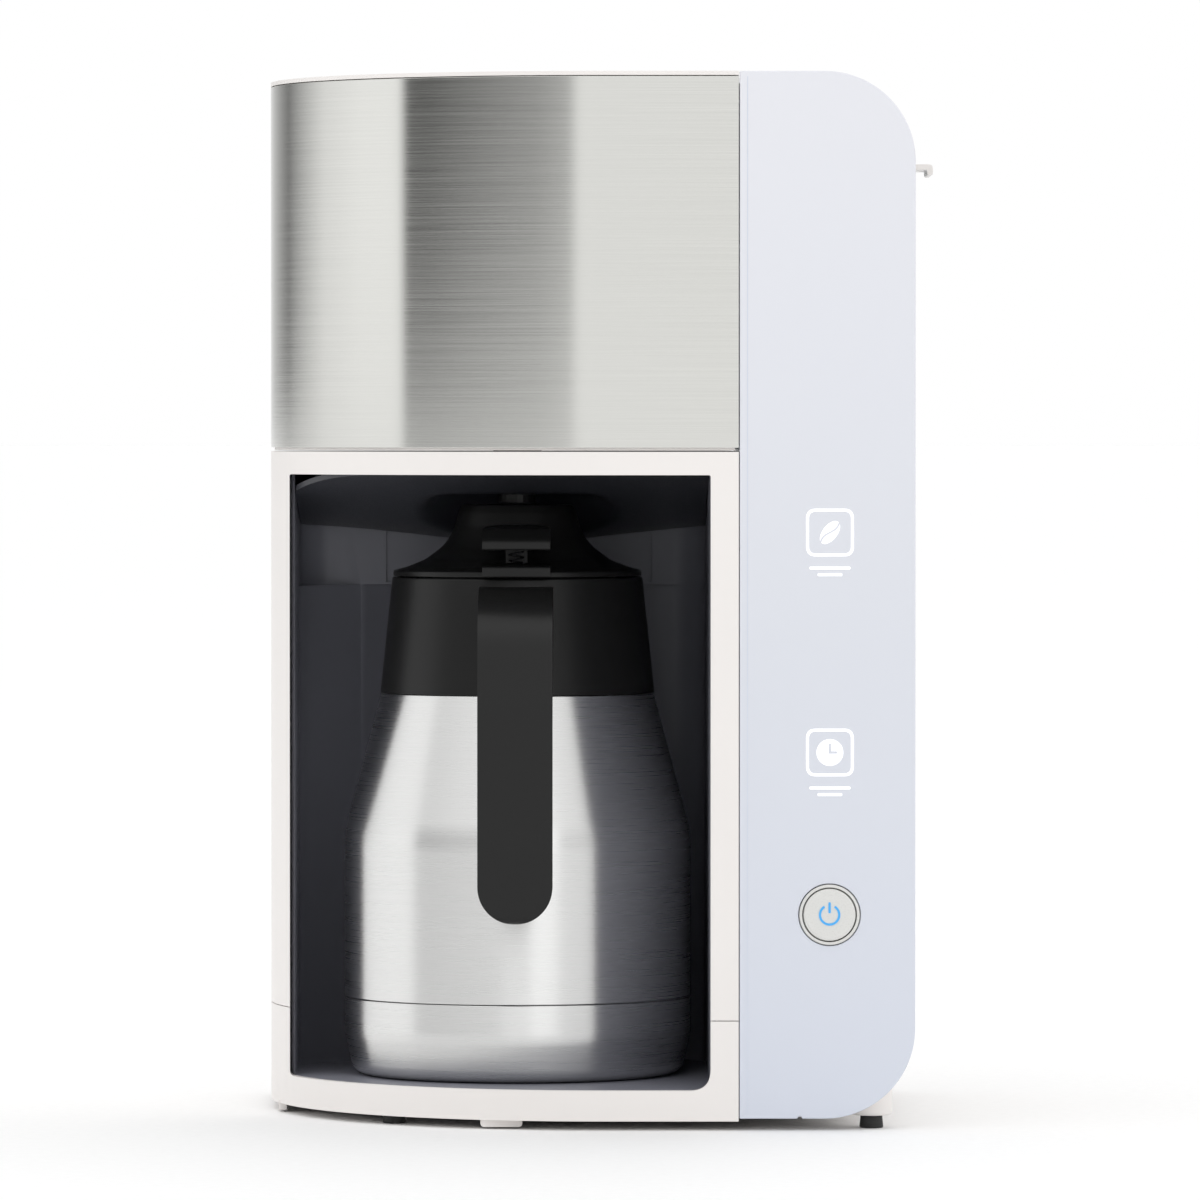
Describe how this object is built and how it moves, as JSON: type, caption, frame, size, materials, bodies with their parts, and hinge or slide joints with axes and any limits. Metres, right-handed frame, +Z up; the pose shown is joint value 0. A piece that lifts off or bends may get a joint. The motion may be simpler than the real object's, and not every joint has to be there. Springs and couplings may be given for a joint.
{
  "type": "drip coffee maker",
  "caption": "Drip coffee maker with a curved steel front, a touch panel on the right, a lift-out water tank and a steel thermal jug in an open bay.",
  "frame": {"origin": "on the table under the centre of the object's box", "axes": "+Z up, -Y is the front with the touch panel and the bay's mouth, +X is to the right seen from the front"},
  "size_m": [0.2476, 0.22, 0.385],
  "materials": {
    "base_pan": "fine satin moulding, warm white",
    "column_shell": "fine satin moulding, warm white",
    "rear_cover": "fine satin moulding, warm white",
    "rear_deck": "fine satin moulding, warm white",
    "brew_lid": "fine satin moulding, warm white",
    "side_housing": "fine satin moulding, warm white",
    "tank_lid": "fine satin moulding, warm white",
    "panel_carrier": "fine satin moulding, warm white",
    "chamber_tub": "fine satin moulding, warm white",
    "shower_head": "fine satin moulding, warm white",
    "tank_socket": "fine satin moulding, warm white",
    "tank_valve": "fine satin moulding, warm white",
    "water_filter": "fine satin moulding, warm white",
    "check_valve": "fine satin moulding, warm white",
    "power_button": "fine satin moulding, warm white",
    "bay_liner": "dark blue-grey satin moulding",
    "drip_cowl": "dark blue-grey satin moulding",
    "brew_basket": "dark blue-grey satin moulding",
    "drip_valve": "black satin moulding",
    "push_switch": "black satin moulding",
    "jug_collar": "black satin moulding",
    "jug_handle": "black satin moulding",
    "jug_lid": "black satin moulding",
    "thumb_lever": "black satin moulding",
    "pour_valve": "black satin moulding",
    "steel_shroud": "brushed stainless",
    "jug_shell": "brushed stainless",
    "jug_base_cap": "brushed stainless",
    "jug_flask": "brushed stainless",
    "button_ring": "brushed stainless",
    "base_screw_1": "drawn or zinc plated steel",
    "base_screw_2": "drawn or zinc plated steel",
    "base_screw_3": "drawn or zinc plated steel",
    "base_screw_4": "drawn or zinc plated steel",
    "lid_hinge_pin": "drawn or zinc plated steel",
    "tank_lid_pin": "drawn or zinc plated steel",
    "lever_pin": "drawn or zinc plated steel",
    "drip_spring": "drawn or zinc plated steel",
    "tank_valve_spring": "drawn or zinc plated steel",
    "button_spring": "drawn or zinc plated steel",
    "lever_spring": "drawn or zinc plated steel",
    "boiler_bracket": "drawn or zinc plated steel",
    "touch_panel": "polished translucent acrylic, back-painted",
    "water_tank": "clear moulded plastic",
    "foot_front_left": "matt black rubber",
    "foot_front_right": "matt black rubber",
    "foot_rear_left": "matt black rubber",
    "foot_rear_right": "matt black rubber",
    "cord_gland": "matt black rubber",
    "drip_seal": "milky silicone",
    "tank_valve_seal": "milky silicone",
    "inlet_hose": "milky silicone",
    "riser_hose": "milky silicone",
    "jug_gasket": "milky silicone",
    "pour_seal": "milky silicone",
    "boiler_tube": "extruded aluminium",
    "heater_element": "extruded aluminium",
    "thermostat": "extruded aluminium",
    "touch_board": "green solder-masked circuit board",
    "power_board": "green solder-masked circuit board"
  },
  "bodies": {
    "root": {"base_pan": "base_pan", "base_screw_1": "base_screw_1", "base_screw_2": "base_screw_2", "base_screw_3": "base_screw_3", "base_screw_4": "base_screw_4", "column_shell": "column_shell", "bay_liner": "bay_liner", "drip_cowl": "drip_cowl", "steel_shroud": "steel_shroud", "chamber_tub": "chamber_tub", "rear_cover": "rear_cover", "rear_deck": "rear_deck", "lid_hinge_pin": "lid_hinge_pin", "side_housing": "side_housing", "panel_carrier": "panel_carrier", "touch_panel": "touch_panel", "button_ring": "button_ring", "touch_board": "touch_board", "push_switch": "push_switch", "power_board": "power_board", "cord_gland": "cord_gland", "foot_front_left": "foot_front_left", "foot_front_right": "foot_front_right", "foot_rear_left": "foot_rear_left", "foot_rear_right": "foot_rear_right", "brew_basket": "brew_basket", "tank_socket": "tank_socket", "boiler_tube": "boiler_tube", "heater_element": "heater_element", "boiler_bracket": "boiler_bracket", "thermostat": "thermostat", "check_valve": "check_valve", "inlet_hose": "inlet_hose", "riser_hose": "riser_hose"},
    "lid": {"brew_lid": "brew_lid", "shower_head": "shower_head"},
    "drip_stop": {"drip_valve": "drip_valve", "drip_seal": "drip_seal", "drip_spring": "drip_spring"},
    "tank": {"water_tank": "water_tank", "tank_lid_pin": "tank_lid_pin", "water_filter": "water_filter"},
    "tank_cover": {"tank_lid": "tank_lid"},
    "tank_poppet": {"tank_valve": "tank_valve", "tank_valve_seal": "tank_valve_seal", "tank_valve_spring": "tank_valve_spring"},
    "button": {"power_button": "power_button", "button_spring": "button_spring"},
    "jug": {"jug_base_cap": "jug_base_cap", "jug_shell": "jug_shell", "jug_flask": "jug_flask", "jug_collar": "jug_collar", "jug_handle": "jug_handle"},
    "jug_stopper": {"jug_lid": "jug_lid", "jug_gasket": "jug_gasket", "lever_pin": "lever_pin"},
    "lever": {"thumb_lever": "thumb_lever", "lever_spring": "lever_spring"},
    "pour_stop": {"pour_valve": "pour_valve", "pour_seal": "pour_seal"}
  },
  "joints": [
    {"name": "brew_lid_hinge", "type": "hinge", "parent": "root", "child": "lid", "pos_m": [0, 0.084, 0.3825], "axis": [-1, 0, 0], "range_deg": [0, 80]},
    {"name": "jug_slide", "type": "slide", "parent": "root", "child": "jug", "axis": [0, -1, 0], "range_m": [0, 0.2]},
    {"name": "drip_valve_drop", "type": "slide", "parent": "root", "child": "drip_stop", "axis": [0, 0, -1], "range_m": [0, 0.0034], "deforming": ["drip_spring"]},
    {"name": "jug_lid_twist", "type": "hinge", "parent": "jug", "child": "jug_stopper", "pos_m": [-0.0308, -0.004, 0.2], "axis": [0, 0, 1], "range_deg": [0, 45]},
    {"name": "thumb_lever_press", "type": "hinge", "parent": "jug_stopper", "child": "lever", "pos_m": [-0.0308, -0.0375, 0.213], "axis": [1, 0, 0], "range_deg": [0, 10], "stiffness_Nm_per_rad": 0.3, "springref_deg": -2.86, "deforming": ["lever_spring"]},
    {"name": "pour_valve_drop", "type": "slide", "parent": "jug_stopper", "child": "pour_stop", "axis": [0, 0, -1], "range_m": [0, 0.0032]},
    {"name": "tank_lift", "type": "slide", "parent": "root", "child": "tank", "axis": [0, 0, 1], "range_m": [0, 0.12]},
    {"name": "tank_lid_hinge", "type": "hinge", "parent": "tank", "child": "tank_cover", "pos_m": [0.0537, 0, 0.3823], "axis": [0, -1, 0], "range_deg": [0, 88]},
    {"name": "tank_valve_drop", "type": "slide", "parent": "tank", "child": "tank_poppet", "axis": [0, 0, -1], "range_m": [0, 0.002], "deforming": ["tank_valve_spring"]},
    {"name": "power_button_press", "type": "slide", "parent": "root", "child": "button", "axis": [0, 1, 0], "range_m": [0, 0.0015], "stiffness_N_per_m": 300, "springref_m": -0.001, "deforming": ["button_spring"]}
  ],
  "couplings": [
    {"joint": "drip_valve_drop", "follows": "jug_slide", "ratio": 0.0165},
    {"joint": "pour_valve_drop", "follows": "thumb_lever_press", "m_per_rad": 0.017},
    {"joint": "tank_valve_drop", "follows": "tank_lift", "ratio": 0.0165}
  ]
}
